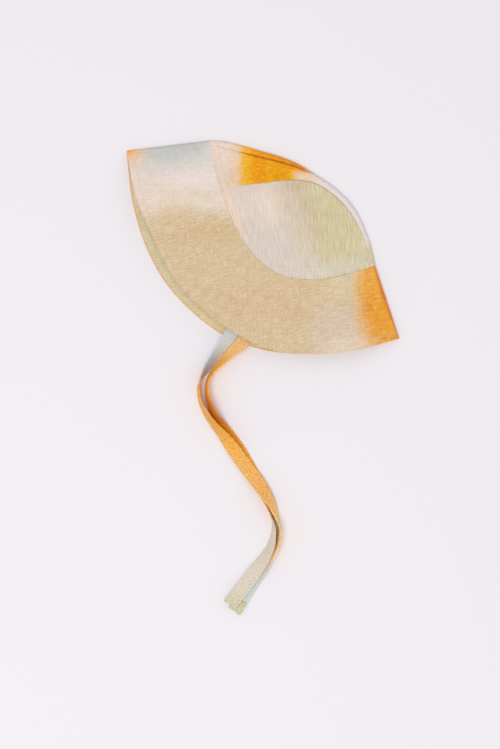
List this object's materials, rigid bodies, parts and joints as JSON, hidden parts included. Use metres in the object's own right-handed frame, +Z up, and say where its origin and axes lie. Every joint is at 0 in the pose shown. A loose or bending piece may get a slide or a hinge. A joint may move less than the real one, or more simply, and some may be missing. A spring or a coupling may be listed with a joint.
{
  "type": "baby's linen sun hat folded flat, with chin straps",
  "caption": "Soft sun hat with a panelled crown and a wide brim, folded in half and lying on its side, its two flat chin straps fastened at their ends.",
  "frame": {"origin": "on the surface that the hat lies on, under the middle of the folded hat, its straps left out", "axes": "+Z up from the surface, +Y towards the top of the crown and away from the straps, +X from the brim's front tip towards its back tip"},
  "size_m": [0.2615, 0.4552, 0.0183],
  "materials": {
    "brim_linen": "woven linen, dip-dyed in soft zones",
    "strip_linen": "woven linen, dip-dyed in soft zones",
    "side_linen": "woven linen, dip-dyed in soft zones",
    "near_strap_linen": "stitched linen strap, dip-dyed",
    "far_strap_linen": "stitched linen strap, dip-dyed",
    "hook_tape": "hook tape",
    "loop_tape": "napped loop tape"
  },
  "bodies": {
    "root": {"brim": "brim_linen", "crown_strip": "strip_linen", "crown_side_near": "side_linen", "crown_side_far": "side_linen", "chin_strap_near": "near_strap_linen", "chin_strap_far": "far_strap_linen", "hook_patch": "hook_tape", "loop_patch": "loop_tape"}
  },
  "joints": []
}
